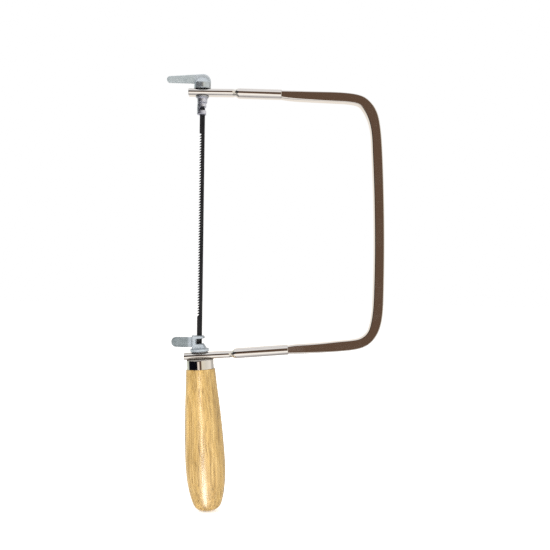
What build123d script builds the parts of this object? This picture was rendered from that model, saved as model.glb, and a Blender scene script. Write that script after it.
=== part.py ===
from build123d import *
from math import atan2, cos, radians, sin
import os

"""Coping saw: flat-bar bow with tubular end arms, turning blade holders,
a one-wing tension nut on the top arm and a screw-tightened wooden handle.

Millimetres. The blade stands on the Z axis, centred on the origin, with its
teeth facing -X. The bow reaches out to +X and the handle hangs below. The saw
is symmetric about the Y = 0 plane. Widths are along Y.
"""

os.makedirs("parts", exist_ok=True)

# --------------------------------------------------------- shared dimensions
PIN_SPAN = 162.0
PIN_Z = PIN_SPAN / 2
GAP = 0.02                      # clearance between neighbouring pieces

# Screw shanks have two flats; the washers are keyed to them
SHANK_R = 4.83 / 2
SHANK_FLATS = 4.10
BORE_R = 2.47
KEY_FLATS = 4.20

# Slot in both holders that takes the blade's thickness
SLOT_W = 1.2
SLOT_X = -2.05

# Arms: tube with a flattened outer part, a pinched neck and a sleeve for the bow
TUBE_WALL = 0.8
ARM_W, ARM_H = 8.8, 4.85
NECK_W, NECK_H = 7.0, 4.4
NECK_STEP = 1.3                 # spacing of the sections around the neck
SLEEVE_W = 8.8
UPPER_SLEEVE_H = 6.6
LOWER_SLEEVE_H = 7.1
ARM_HOLE_R = BORE_R + 0.03
ARM_END_FILLET = 0.3

UPPER_ARM_Z = 92.85
UPPER_ARM_BOTTOM = UPPER_ARM_Z - ARM_H / 2
UPPER_ARM_END_X = -9.5
UPPER_FLAT_END_X = 21.2
UPPER_SLEEVE = (26.0, 92.62)    # (x, z) on the sleeve's axis just after the neck
UPPER_MOUTH = (55.5, 92.16)     # (x, z) on the sleeve's axis at its mouth

# Lower arm: heights h along the lower axis, distances along the arm from that axis
LOWER_ARM_H = -10.75
LOWER_ARM_TOP = LOWER_ARM_H + ARM_H / 2
LOWER_ARM_BOTTOM = LOWER_ARM_H - ARM_H / 2
LOWER_ARM_END = -10.9
LOWER_FLAT_END = 20.6
LOWER_SLEEVE = (26.42, -89.75)
LOWER_MOUTH = (62.42, -86.73)

# Handle and lower holder share the lower axis: it starts at the lower pin, its
# heights grow towards the blade, and its lower end leans towards the bow
LEAN = radians(3.7)
LOWER_PLANE = Plane(origin=(0, 0, -PIN_Z), x_dir=(cos(LEAN), 0, sin(LEAN)),
                    z_dir=(-sin(LEAN), 0, cos(LEAN)))
LOWER_SIDE = Plane(origin=LOWER_PLANE.origin, x_dir=LOWER_PLANE.x_dir, z_dir=(0, -1, 0))
LOWER_AXIS = Axis(LOWER_PLANE.origin, LOWER_PLANE.z_dir)


# ------------------------------------------------------------------- helpers
def tilt_between(start, end):
    """Climb angle in radians of the line between two (x, z) points."""
    return atan2(end[1] - start[1], end[0] - start[0])


def arm_section(x, z, tilt):
    """Section plane across an arm at (x, z) that climbs by tilt radians."""
    return Plane(origin=(x, 0, z), x_dir=(0, 1, 0), z_dir=(cos(tilt), 0, sin(tilt)))


def flatted_disc(radius, across_flats):
    """Draw a disc with two flats in the current sketch."""
    Circle(radius)
    Rectangle(across_flats, 4 * radius, mode=Mode.INTERSECT)


UPPER_TILT = tilt_between(UPPER_SLEEVE, UPPER_MOUTH)
LOWER_TILT = tilt_between(LOWER_SLEEVE, LOWER_MOUTH)

# ----------------------------------------------------------------------- bow
BAR_W = 8.0
BAR_MOUTH_W = 7.2
BAR_EDGE_R = 0.5
TAPER_L = 12.0
TAPER_LEAD = 3.0                # the taper starts this far inside the mouth
TAPER_CUT_Y = 6.0
TAPER_CUT_HALF_H = 8.0
UPPER_TAPER_Z, LOWER_TAPER_Z = 92.0, -87.0
TENON_FIT = 0.05
TENON_L = 26.0

# Bar edges at the mouths, offset upwards from the sleeve's axis
UPPER_OUTER_OFFSET, UPPER_INNER_OFFSET = 2.5, -2.95
LOWER_INNER_OFFSET, LOWER_OUTER_OFFSET = 2.75, -2.9

# Edge curves between the mouths, (x, z) from top to bottom
BOW_OUTER = [
    (82.9, 94), (101.68, 93.35), (108.43, 92.4), (113.27, 90.74),
    (117.22, 87.77), (120.25, 84.12), (122.65, 79.5), (124.57, 71.74),
    (126.32, 54.93), (127.65, 28.4), (128.49, 2.48), (128.83, -23.32),
    (128.69, -49.49), (127.9, -63.52), (126.05, -71.51), (123.61, -76.56),
    (120.95, -80.07), (117.19, -83.06), (111.56, -85.32), (103.27, -86.74),
    (84.79, -88.34)]
BOW_INNER = [
    (72.82, 87.85), (95.05, 87.12), (106.29, 86.2), (109.13, 85.46),
    (110.78, 84.54), (112.65, 82.38), (115.82, 76.75), (118.23, 68.86),
    (119.57, 55.33), (120.92, 29.04), (121.76, 3.96), (122.15, -21.07),
    (121.91, -45.89), (120.94, -62.4), (119.64, -69.4), (117.99, -73.61),
    (115.94, -75.85), (113.1, -77.74), (108.89, -78.94), (101.13, -79.91),
    (78.29, -82.27)]


def beside_axis(point, tilt, offset):
    """(x, z) at an upward offset square to an axis through point."""
    return (point[0] - offset * sin(tilt), point[1] + offset * cos(tilt))


def make_bow():
    upper_outer = beside_axis(UPPER_MOUTH, UPPER_TILT, UPPER_OUTER_OFFSET)
    upper_inner = beside_axis(UPPER_MOUTH, UPPER_TILT, UPPER_INNER_OFFSET)
    lower_inner = beside_axis(LOWER_MOUTH, LOWER_TILT, LOWER_INNER_OFFSET)
    lower_outer = beside_axis(LOWER_MOUTH, LOWER_TILT, LOWER_OUTER_OFFSET)
    with BuildPart() as bow:
        with BuildSketch(Plane.XZ):
            with BuildLine():
                Spline(upper_outer, *BOW_OUTER, lower_outer,
                       tangents=((cos(UPPER_TILT), sin(UPPER_TILT)), (-1, -0.03)))
                Line(lower_outer, lower_inner)
                Spline(lower_inner, *reversed(BOW_INNER), upper_inner,
                       tangents=((0.97, 0.23), (-0.985, 0.17)))
                Line(upper_inner, upper_outer)
            make_face()
        extrude(amount=BAR_W / 2, both=True)
        # the bar narrows over the last stretch before each sleeve
        for mouth_x, z in ((UPPER_MOUTH[0], UPPER_TAPER_Z), (LOWER_MOUTH[0], LOWER_TAPER_Z)):
            start_x, end_x = mouth_x - TAPER_LEAD, mouth_x + TAPER_L
            for side in (-1, 1):
                with BuildSketch(Plane.XY.offset(z - TAPER_CUT_HALF_H)):
                    with BuildLine():
                        Polyline((start_x, side * TAPER_CUT_Y),
                                 (start_x, side * (BAR_MOUTH_W / 2 - 0.1)),
                                 (end_x, side * BAR_W / 2),
                                 (end_x, side * TAPER_CUT_Y), close=True)
                    make_face()
                extrude(amount=2 * TAPER_CUT_HALF_H, mode=Mode.SUBTRACT)
        # long edges on the two side faces
        rim = [e for e in bow.edges() if abs(e.center().Y) > 3.3 and e.length > 5]
        fillet(rim, BAR_EDGE_R)
        # rounded tongues that fill the sleeves
        for (x, z), tilt, sleeve_h in ((UPPER_MOUTH, UPPER_TILT, UPPER_SLEEVE_H),
                                       (LOWER_MOUTH, LOWER_TILT, LOWER_SLEEVE_H)):
            with BuildSketch(arm_section(x, z, tilt)):
                SlotOverall(SLEEVE_W - 2 * TUBE_WALL - 2 * TENON_FIT,
                            sleeve_h - 2 * TUBE_WALL - 2 * TENON_FIT)
            extrude(amount=-TENON_L)
    return bow.part


# ---------------------------------------------------------------------- arms
ARM_DRILL_REACH = 6.0           # the hole's cutter goes this far above and below the arm's axis


def along_lower_arm(distance):
    """(x, z) on the lower arm's axis, at a distance from the lower axis."""
    return (-LOWER_ARM_H * sin(LEAN) + distance * cos(LEAN),
            -PIN_Z + LOWER_ARM_H * cos(LEAN) + distance * sin(LEAN))


LOWER_END = along_lower_arm(LOWER_ARM_END)
LOWER_FLAT = along_lower_arm(LOWER_FLAT_END)
LOWER_NECK_START = along_lower_arm(LOWER_FLAT_END + NECK_STEP)
LOWER_NECK_END = along_lower_arm(LOWER_FLAT_END + 2 * NECK_STEP)

# Sections from the blade end to the mouth: x, z, tilt, width, height
UPPER_STATIONS = [
    (UPPER_ARM_END_X, UPPER_ARM_Z, 0.0, ARM_W, ARM_H),
    (UPPER_FLAT_END_X, UPPER_ARM_Z, 0.0, ARM_W, ARM_H),
    (UPPER_FLAT_END_X + NECK_STEP, UPPER_ARM_Z - 0.02, 0.0, NECK_W, NECK_H),
    (UPPER_FLAT_END_X + 2 * NECK_STEP, UPPER_ARM_Z - 0.06, UPPER_TILT / 2, NECK_W, NECK_H),
    (*UPPER_SLEEVE, UPPER_TILT, SLEEVE_W, UPPER_SLEEVE_H),
    (*UPPER_MOUTH, UPPER_TILT, SLEEVE_W, UPPER_SLEEVE_H)]
LOWER_STATIONS = [
    (*LOWER_END, LEAN, ARM_W, ARM_H),
    (*LOWER_FLAT, LEAN, ARM_W, ARM_H),
    (LOWER_NECK_START[0], LOWER_NECK_START[1] + 0.02, LEAN, NECK_W, NECK_H),
    (LOWER_NECK_END[0], LOWER_NECK_END[1] + 0.08, (LEAN + LOWER_TILT) / 2, NECK_W, NECK_H),
    (*LOWER_SLEEVE, LOWER_TILT, SLEEVE_W, LOWER_SLEEVE_H),
    (*LOWER_MOUTH, LOWER_TILT, SLEEVE_W, LOWER_SLEEVE_H)]


def make_arm_tube(stations, arm_plane):
    """Hollow arm through the stations; arm_plane is square to its screw hole."""
    with BuildPart() as tube:
        for x, z, tilt, width, height in stations:
            with BuildSketch(arm_section(x, z, tilt)):
                SlotOverall(width, height)
        loft(ruled=True)
        faces = tube.faces().sort_by(Axis.X)
        fillet(faces[0].edges() + faces[-1].edges(), ARM_END_FILLET)
        for x, z, tilt, width, height in stations:
            with BuildSketch(arm_section(x, z, tilt)):
                SlotOverall(width - 2 * TUBE_WALL, height - 2 * TUBE_WALL)
        loft(ruled=True, mode=Mode.SUBTRACT)
        with BuildSketch(arm_plane.offset(-ARM_DRILL_REACH)):
            Circle(ARM_HOLE_R)
        extrude(amount=2 * ARM_DRILL_REACH, mode=Mode.SUBTRACT)
    return tube.part


# ------------------------------------------------------------- keyed washers
UPPER_WASHER_R, UPPER_WASHER_T = 4.6, 1.0
UPPER_WASHER_FILLET = 0.3
LOWER_WASHER_R, LOWER_WASHER_T = 5.6, 0.5
LOWER_WASHER_FILLET = 0.18


def make_keyed_washer(bottom_plane, radius, thickness, rim_fillet):
    with BuildPart() as washer:
        with BuildSketch(bottom_plane):
            Circle(radius)
            with BuildSketch(mode=Mode.SUBTRACT):
                flatted_disc(BORE_R, KEY_FLATS)
        extrude(amount=thickness)
        rims = washer.edges().filter_by(GeomType.CIRCLE).sort_by(SortBy.RADIUS)[-2:]
        fillet(rims, rim_fillet)
    return washer.part


# -------------------------------------------------------------- upper holder
COLLAR_R, COLLAR_BOTTOM = 3.5, 85.6
COLLAR_TOP = UPPER_ARM_BOTTOM - UPPER_WASHER_T - GAP
COLLAR_LIP_R = COLLAR_R + 0.45
GROOVE_R, GROOVE_BOTTOM = 2.9, 85.1
ROD_R, ROD_BOTTOM = 3.6, 77.3
ROD_CHAMFER = 0.5
ROD_FLAT_X = 2.6
ROD_FLAT_CUT = (4, 10)          # x and y size of the cutter
UPPER_SHANK_TOP = 101.2
UPPER_SLOT_TOP = 84.3
UPPER_NOTCH_BOTTOM, UPPER_NOTCH_TOP = 80.05, 82.75
UPPER_CUT_X = 8.0               # slot and notch cutters run out to here
NOTCH_CUT_Y = 8.0               # notch cutters reach this far each side
CUT_BELOW = 1.0


def make_upper_blade_holder():
    cut_bottom = ROD_BOTTOM - CUT_BELOW
    with BuildPart() as holder:
        # turned body: collar, groove and rod
        with BuildSketch(Plane.XZ):
            with BuildLine():
                Polyline((0, ROD_BOTTOM), (ROD_R - ROD_CHAMFER, ROD_BOTTOM),
                         (ROD_R, ROD_BOTTOM + ROD_CHAMFER), (ROD_R, GROOVE_BOTTOM - 0.25),
                         (ROD_R - 0.2, GROOVE_BOTTOM), (GROOVE_R, GROOVE_BOTTOM),
                         (GROOVE_R, COLLAR_BOTTOM), (COLLAR_R - 0.3, COLLAR_BOTTOM),
                         (COLLAR_R, COLLAR_BOTTOM + 0.35), (COLLAR_R, COLLAR_TOP - 0.9),
                         (COLLAR_LIP_R, COLLAR_TOP - 0.35), (COLLAR_LIP_R, COLLAR_TOP),
                         (0, COLLAR_TOP), close=True)
            make_face()
        revolve(axis=Axis.Z)
        # shank with two flats
        with BuildSketch(Plane.XY.offset(COLLAR_TOP)):
            flatted_disc(SHANK_R, SHANK_FLATS)
        extrude(amount=UPPER_SHANK_TOP - COLLAR_TOP)
        # flat on the bow side of the rod
        with BuildSketch(Plane.XY.offset(cut_bottom)):
            with Locations((ROD_FLAT_X + ROD_FLAT_CUT[0] / 2, 0)):
                Rectangle(*ROD_FLAT_CUT)
        extrude(amount=GROOVE_BOTTOM - cut_bottom, mode=Mode.SUBTRACT)
        # slot for the blade, open below and to the bow side
        with BuildSketch(Plane.XZ):
            with Locations(((SLOT_X + UPPER_CUT_X) / 2, (cut_bottom + UPPER_SLOT_TOP) / 2)):
                Rectangle(UPPER_CUT_X - SLOT_X, UPPER_SLOT_TOP - cut_bottom)
        extrude(amount=SLOT_W / 2, both=True, mode=Mode.SUBTRACT)
        # notch that hooks the blade's pin, open to the bow side
        with BuildSketch(Plane.XZ):
            with BuildLine():
                Polyline((UPPER_CUT_X, UPPER_NOTCH_BOTTOM), (UPPER_CUT_X, UPPER_NOTCH_TOP),
                         (-0.2, UPPER_NOTCH_TOP), (-1.05, UPPER_NOTCH_TOP - 0.6),
                         (-1.05, UPPER_NOTCH_BOTTOM + 0.3), (-0.75, UPPER_NOTCH_BOTTOM),
                         close=True)
            make_face()
        extrude(amount=NOTCH_CUT_Y, both=True, mode=Mode.SUBTRACT)
    return holder.part


# --------------------------------------------------------------- tension nut
NUT_R = 5.85
NUT_BASE, NUT_WAIST, NUT_TOP = 95.30, 98.4, 103.5
NUT_BASE_CHAMFER = 0.4
NUT_HOLE_TOP = 102.2
WING_T = 3.0
WING_SHOULDER_R = 5.2           # upper corner on the bow side
WING_TIP_R = 2.15
WING_EDGE_R = 0.9
WING_EDGE_MIN_Z = 98.8          # edges above this are rounded
# (x, z) of the wing
WING_OUTLINE = [(NUT_R, 98.0), (NUT_R, 106.2), (-24.9, 104.0), (-24.9, 99.55),
                (-4, 99.2), (-4, 98.0)]


def make_tension_lever_nut():
    with BuildPart() as nut:
        # single wing standing on the hub's middle plane
        with BuildSketch(Plane.XZ) as wing:
            with BuildLine():
                Polyline(*WING_OUTLINE, close=True)
            make_face()
            fillet(wing.vertices().sort_by(Axis.X)[-2:].sort_by(Axis.Y)[-1], WING_SHOULDER_R)
            fillet(wing.vertices().sort_by(Axis.X)[:2], WING_TIP_R)
        extrude(amount=WING_T / 2, both=True)
        rim = [e for e in nut.edges()
               if abs(abs(e.center().Y) - WING_T / 2) < 1e-3
               and e.center().Z > WING_EDGE_MIN_Z]
        fillet(rim, WING_EDGE_R)
        # domed hub
        with BuildSketch(Plane.XZ):
            with BuildLine():
                Polyline((0, NUT_BASE), (NUT_R - NUT_BASE_CHAMFER, NUT_BASE),
                         (NUT_R, NUT_BASE + NUT_BASE_CHAMFER), (NUT_R, NUT_WAIST))
                Spline((NUT_R, NUT_WAIST), (NUT_R - 0.65, NUT_WAIST + 2.1),
                       (NUT_R - 2.45, NUT_WAIST + 4.0), (0, NUT_TOP),
                       tangents=((0, 1), (-1, 0)))
                Line((0, NUT_TOP), (0, NUT_BASE))
            make_face()
        revolve(axis=Axis.Z)
        # blind hole for the shank
        with BuildSketch(Plane.XY.offset(NUT_BASE)):
            Circle(BORE_R)
        extrude(amount=NUT_HOLE_TOP - NUT_BASE, mode=Mode.SUBTRACT)
    return nut.part


# ------------------------------------------------------------ blade and pins
TIP_X = -1.6                    # tooth tips
BACK_X = 2.0                    # smooth back edge
BLADE_T = 0.5
BLADE_TOP = PIN_Z + 1.6
BLADE_BOTTOM = -PIN_Z - 2.7
BLADE_CHAMFER = 0.6
PIN_R = 0.8
PIN_L = 6.4
PIN_CHAMFER = 0.2
TOOTH_PITCH = 1.86
TOOTH_COUNT = 69
TOOTH_DEPTH = 1.3
GULLET_X = TIP_X + TOOTH_DEPTH
TOOTH_TOP = 63.9                # top of the first tooth's pitch
TOOTH_BOTTOM = TOOTH_TOP - TOOTH_COUNT * TOOTH_PITCH


def tooth_points():
    """(x, z) down the toothed edge; the teeth point down, towards the handle."""
    points = []
    for i in range(TOOTH_COUNT):
        top = TOOTH_TOP - i * TOOTH_PITCH
        points += [(GULLET_X, top - 0.04), (GULLET_X - 0.08, top - 0.42),
                   (TIP_X, top - TOOTH_PITCH + 0.16), (TIP_X, top - TOOTH_PITCH + 0.04)]
    return points


def make_blade():
    with BuildPart() as blade:
        with BuildSketch(Plane.XZ):
            with BuildLine():
                Polyline((BACK_X - BLADE_CHAMFER, BLADE_TOP), (TIP_X + BLADE_CHAMFER, BLADE_TOP),
                         (TIP_X, BLADE_TOP - BLADE_CHAMFER), (TIP_X, TOOTH_TOP + 0.5),
                         *tooth_points(),
                         (TIP_X, TOOTH_BOTTOM - 0.3), (TIP_X, BLADE_BOTTOM + BLADE_CHAMFER),
                         (TIP_X + BLADE_CHAMFER, BLADE_BOTTOM),
                         (BACK_X - BLADE_CHAMFER, BLADE_BOTTOM),
                         (BACK_X, BLADE_BOTTOM + BLADE_CHAMFER),
                         (BACK_X, BLADE_TOP - BLADE_CHAMFER), close=True)
            make_face()
            with Locations((0, PIN_Z), (0, -PIN_Z)):
                Circle(PIN_R, mode=Mode.SUBTRACT)
        extrude(amount=BLADE_T / 2, both=True)
    return blade.part


def make_blade_pin(z):
    with BuildPart() as pin:
        with BuildSketch(Plane(origin=(0, 0, z), x_dir=(1, 0, 0), z_dir=(0, -1, 0))):
            Circle(PIN_R)
        extrude(amount=PIN_L / 2, both=True)
        chamfer(pin.edges().filter_by(GeomType.CIRCLE), PIN_CHAMFER)
    return pin.part


# -------------------------------------------------------------- lower holder
FLANGE_R, FLANGE_T = 6.55, 2.1
FLANGE_BOTTOM = LOWER_ARM_TOP + LOWER_WASHER_T + GAP
LOWER_SHANK_END = -44.0
BLOCK_W = 7.6
LEVER_T = 2.6
LEVER_TIP_R = 3.2
LEVER_BELLY_R = 20
LEVER_EDGE_R = 0.9
LEVER_EDGE_MAX_X = -4.2         # edges on the -X side of this are rounded
# (x, z) of the thumb lever
LEVER_OUTLINE = [(-4, -78.7), (-19.45, -78.8), (-19.45, -85.6), (-12, -86.0), (-4, -85.7)]
# (x, z) of the block: top edge's -X end, arc at its +X corner, then down and round
BLOCK_START = (-4.8, -77.6)
BLOCK_ARC = [(2.5, -77.6), (3.62, -78.4), (3.7, -79.7)]
BLOCK_REST = [(3.0, -83.3), (3.9, -84.2), (5.3, -86.6), (5.3, -87.6), (-4.7, -87.9)]
# in the leaning side plane
LOWER_SLOT_BOTTOM = -4.4
LOWER_NOTCH_BOTTOM, LOWER_NOTCH_TOP = -2.35, 1.15
LOWER_CUT_X, LOWER_CUT_TOP = 9, 6


def make_lower_blade_holder():
    with BuildPart() as holder:
        # thumb lever
        with BuildSketch(Plane.XZ) as lever:
            with BuildLine():
                Polyline(*LEVER_OUTLINE, close=True)
            make_face()
            fillet(lever.vertices().sort_by(Axis.X)[:2], LEVER_TIP_R)
            fillet([v for v in lever.vertices() if -13 < v.X < -11], LEVER_BELLY_R)
        extrude(amount=LEVER_T / 2, both=True)
        rim = [e for e in holder.edges()
               if abs(abs(e.center().Y) - LEVER_T / 2) < 1e-3
               and e.center().X < LEVER_EDGE_MAX_X]
        fillet(rim, LEVER_EDGE_R)
        # block with the hooked finger
        with BuildSketch(Plane.XZ):
            with BuildLine():
                Polyline(BLOCK_START, BLOCK_ARC[0])
                ThreePointArc(*BLOCK_ARC)
                Polyline(BLOCK_ARC[-1], *BLOCK_REST, BLOCK_START)
            make_face()
        extrude(amount=BLOCK_W / 2, both=True)
        # flange that bears on the washer
        with BuildSketch(LOWER_PLANE.offset(FLANGE_BOTTOM)):
            Circle(FLANGE_R)
        extrude(amount=FLANGE_T)
        # shank with two flats
        with BuildSketch(LOWER_PLANE.offset(LOWER_SHANK_END)):
            flatted_disc(SHANK_R, SHANK_FLATS)
        extrude(amount=FLANGE_BOTTOM - LOWER_SHANK_END)
        # slot for the blade, open upwards and to the bow side
        with BuildSketch(LOWER_SIDE):
            with BuildLine():
                Polyline((SLOT_X, LOWER_CUT_TOP), (SLOT_X, LOWER_SLOT_BOTTOM),
                         (LOWER_CUT_X, LOWER_SLOT_BOTTOM), (LOWER_CUT_X, LOWER_CUT_TOP),
                         close=True)
            make_face()
        extrude(amount=SLOT_W / 2, both=True, mode=Mode.SUBTRACT)
        # notch for the pin, flared upwards at its mouth
        with BuildSketch(LOWER_SIDE):
            with BuildLine():
                Polyline((LOWER_CUT_X, LOWER_NOTCH_BOTTOM), (-1.5, LOWER_NOTCH_BOTTOM),
                         (-1.95, LOWER_NOTCH_BOTTOM + 0.5), (-1.95, LOWER_NOTCH_TOP - 0.5),
                         (-1.5, LOWER_NOTCH_TOP), (1.0, LOWER_NOTCH_TOP),
                         (LOWER_CUT_X, LOWER_NOTCH_TOP + 0.9), close=True)
            make_face()
        extrude(amount=NOTCH_CUT_Y, both=True, mode=Mode.SUBTRACT)
    return holder.part


# -------------------------------------------------------------------- handle
# Heights are along the lower axis
FERRULE_R = 9.45
FERRULE_WALL = 0.8
FERRULE_INNER_R = FERRULE_R - FERRULE_WALL
FERRULE_HOLE_R = BORE_R + 0.1
FERRULE_TOP = LOWER_ARM_BOTTOM - 0.05
FERRULE_BOTTOM = FERRULE_TOP - 6.7
FERRULE_CEILING = FERRULE_TOP - FERRULE_WALL

GRIP_TOP = FERRULE_CEILING - GAP        # the insert's head is flush with it
INSERT_R, INSERT_T = 6.5, 1.6
INSERT_BARREL_R, INSERT_L = 3.9, 13.0
INSERT_CHAMFER = 0.5
INSERT_HEAD_BOTTOM = GRIP_TOP - INSERT_T
INSERT_BOTTOM = GRIP_TOP - INSERT_L
SOCKET_R = INSERT_R + 0.03

SHOULDER = FERRULE_BOTTOM - GAP
SHOULDER_R = 10.15
SPIGOT_R = FERRULE_INNER_R - GAP        # part of the grip inside the ferrule
GRIP_BORE_R = 2.9
GRIP_BORE_END = -52.0
GRIP_BOTTOM = -119.2
GRIP_BOTTOM_R = 3.6                     # flat end face
# (radius, height) down the grip
GRIP_PROFILE = [
    (10.46, -23.7), (10.8, -29.3), (11.24, -34.95), (11.72, -40.55),
    (12.19, -46.2), (12.56, -51.8), (12.9, -57.4), (13.22, -63.1),
    (13.66, -74.3), (13.84, -79.9), (13.91, -85.5), (13.8, -91.2),
    (13.47, -96.8), (12.8, -102.45), (11.78, -108.1), (10.15, -113.7),
    (8.8, -116.4), (6.7, -118.1)]


def make_ferrule():
    arc_end = (FERRULE_R - 0.08, FERRULE_TOP - 1.4)
    with BuildPart() as ferrule:
        with BuildSketch(LOWER_SIDE):
            with BuildLine():
                Line((FERRULE_HOLE_R, FERRULE_TOP), (FERRULE_R - 1.5, FERRULE_TOP))
                ThreePointArc((FERRULE_R - 1.5, FERRULE_TOP),
                              (FERRULE_R - 0.5, FERRULE_TOP - 0.42), arc_end)
                Polyline(arc_end, (FERRULE_R, FERRULE_BOTTOM),
                         (FERRULE_INNER_R, FERRULE_BOTTOM),
                         (FERRULE_INNER_R, FERRULE_CEILING - 0.5),
                         (FERRULE_INNER_R - 0.5, FERRULE_CEILING),
                         (FERRULE_HOLE_R, FERRULE_CEILING), (FERRULE_HOLE_R, FERRULE_TOP))
            make_face()
        revolve(axis=LOWER_AXIS)
    return ferrule.part


def make_handle_insert():
    with BuildPart() as insert:
        with BuildSketch(LOWER_SIDE):
            with BuildLine():
                Polyline((BORE_R, GRIP_TOP), (INSERT_R, GRIP_TOP),
                         (INSERT_R, INSERT_HEAD_BOTTOM),
                         (INSERT_BARREL_R, INSERT_HEAD_BOTTOM),
                         (INSERT_BARREL_R, INSERT_BOTTOM + INSERT_CHAMFER),
                         (INSERT_BARREL_R - INSERT_CHAMFER, INSERT_BOTTOM),
                         (BORE_R, INSERT_BOTTOM), close=True)
            make_face()
        revolve(axis=LOWER_AXIS)
        # hexagon whose corners meet the head's rim
        with BuildSketch(LOWER_PLANE.offset(INSERT_HEAD_BOTTOM)):
            RegularPolygon(INSERT_R, 6)
            Circle(BORE_R, mode=Mode.SUBTRACT)
        extrude(amount=INSERT_T)
    return insert.part


def make_handle_grip():
    with BuildPart() as grip:
        with BuildSketch(LOWER_SIDE):
            with BuildLine():
                Polyline((0, GRIP_BOTTOM), (0, GRIP_TOP), (FERRULE_INNER_R - 0.8, GRIP_TOP),
                         (SPIGOT_R, GRIP_TOP - 0.8), (SPIGOT_R, SHOULDER),
                         (SHOULDER_R - 0.35, SHOULDER))
                ThreePointArc((SHOULDER_R - 0.35, SHOULDER),
                              (SHOULDER_R - 0.08, SHOULDER - 0.12),
                              (SHOULDER_R, SHOULDER - 0.4))
                Spline((SHOULDER_R, SHOULDER - 0.4), *GRIP_PROFILE,
                       (GRIP_BOTTOM_R, GRIP_BOTTOM),
                       tangents=((0.12, -1), (-1, -0.12)))
                Line((GRIP_BOTTOM_R, GRIP_BOTTOM), (0, GRIP_BOTTOM))
            make_face()
        revolve(axis=LOWER_AXIS)
        # socket for the insert's head, cut out through the top
        with BuildSketch(LOWER_PLANE.offset(INSERT_HEAD_BOTTOM - GAP)):
            RegularPolygon(SOCKET_R, 6)
            Circle(SOCKET_R)
        extrude(amount=INSERT_T + 1, mode=Mode.SUBTRACT)
        # bore for the insert's barrel
        with BuildSketch(LOWER_PLANE.offset(INSERT_BOTTOM - GAP)):
            Circle(INSERT_BARREL_R + GAP)
        extrude(amount=INSERT_L, mode=Mode.SUBTRACT)
        # clearance for the shank's end
        with BuildSketch(LOWER_PLANE.offset(GRIP_BORE_END)):
            Circle(GRIP_BORE_R)
        extrude(amount=GRIP_TOP - GRIP_BORE_END, mode=Mode.SUBTRACT)
    return grip.part


# -------------------------------------------------------------------- export
PIECES = {
    "bow": make_bow(),
    "upper_arm_tube": make_arm_tube(UPPER_STATIONS, Plane.XY.offset(UPPER_ARM_Z)),
    "lower_arm_tube": make_arm_tube(LOWER_STATIONS, LOWER_PLANE.offset(LOWER_ARM_H)),
    "upper_keyed_washer": make_keyed_washer(
        Plane.XY.offset(UPPER_ARM_BOTTOM - UPPER_WASHER_T),
        UPPER_WASHER_R, UPPER_WASHER_T, UPPER_WASHER_FILLET),
    "upper_blade_holder": make_upper_blade_holder(),
    "tension_lever_nut": make_tension_lever_nut(),
    "blade": make_blade(),
    "upper_blade_pin": make_blade_pin(PIN_Z),
    "lower_blade_pin": make_blade_pin(-PIN_Z),
    "lower_keyed_washer": make_keyed_washer(
        LOWER_PLANE.offset(LOWER_ARM_TOP),
        LOWER_WASHER_R, LOWER_WASHER_T, LOWER_WASHER_FILLET),
    "lower_blade_holder": make_lower_blade_holder(),
    "ferrule": make_ferrule(),
    "handle_insert": make_handle_insert(),
    "handle_grip": make_handle_grip(),
}
for name, part in PIECES.items():
    part.label = name
    export_step(part, f"parts/{name}.step")
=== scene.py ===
"""A bow-framed hand saw: a flat nickel bow, two flattened tube arms, a blade and a turned handle.

The frame lies in the XZ plane. The blade runs down Z near x = 0, with its teeth towards -X,
and the bow stands at +X. The handle hangs under the lower arm, and the camera looks along +Y.
Outlines are in millimetres, as (x, z) or (radius, height); objects, materials, lights and
camera are in metres.
"""
import math

import bmesh
import bpy
import numpy as np
from mathutils import Matrix, Vector


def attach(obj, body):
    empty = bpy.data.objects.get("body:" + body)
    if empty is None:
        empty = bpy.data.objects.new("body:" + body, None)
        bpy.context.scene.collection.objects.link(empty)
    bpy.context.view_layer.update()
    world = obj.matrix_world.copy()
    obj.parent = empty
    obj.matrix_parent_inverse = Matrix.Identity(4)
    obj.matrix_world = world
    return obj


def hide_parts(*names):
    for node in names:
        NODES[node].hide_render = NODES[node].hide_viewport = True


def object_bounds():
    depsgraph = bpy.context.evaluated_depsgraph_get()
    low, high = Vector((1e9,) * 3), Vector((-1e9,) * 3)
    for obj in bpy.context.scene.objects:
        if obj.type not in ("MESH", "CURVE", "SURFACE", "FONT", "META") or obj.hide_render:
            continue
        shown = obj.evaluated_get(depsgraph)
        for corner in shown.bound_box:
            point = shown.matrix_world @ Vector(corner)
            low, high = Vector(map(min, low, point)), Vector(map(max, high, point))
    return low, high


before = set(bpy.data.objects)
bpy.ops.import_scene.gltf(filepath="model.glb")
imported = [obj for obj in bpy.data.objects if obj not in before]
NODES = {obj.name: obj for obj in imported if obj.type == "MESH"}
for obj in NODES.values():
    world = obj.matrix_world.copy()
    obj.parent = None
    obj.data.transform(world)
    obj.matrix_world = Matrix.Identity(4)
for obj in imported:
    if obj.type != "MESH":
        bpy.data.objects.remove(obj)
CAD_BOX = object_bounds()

MM = 0.001
scene = bpy.context.scene

# ------------------------------------------------------------ the lower axis
# The lower holder, washer, ferrule and handle share an axis through the lower
# pin. It leans so that its lower end moves towards the bow. Heights on this
# axis are measured up from the pin.
LEAN = math.radians(3.7)
PIN_DEPTH = 81.0                   # the pin's distance below the origin
AXIS_Z = np.array([-math.sin(LEAN), 0.0, math.cos(LEAN)])
AXIS_X = np.array([math.cos(LEAN), 0.0, math.sin(LEAN)])
AXIS_Y = np.array([0.0, 1.0, 0.0])
PIN = np.array([0.0, 0.0, -PIN_DEPTH])


# ------------------------------------------------------------- mesh helpers
def unit(vector):
    vector = np.asarray(vector, float)
    return vector / np.linalg.norm(vector)


def left_normal(direction):
    """The (x, z) direction a quarter turn anticlockwise."""
    return np.array([-direction[1], direction[0]])


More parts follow.
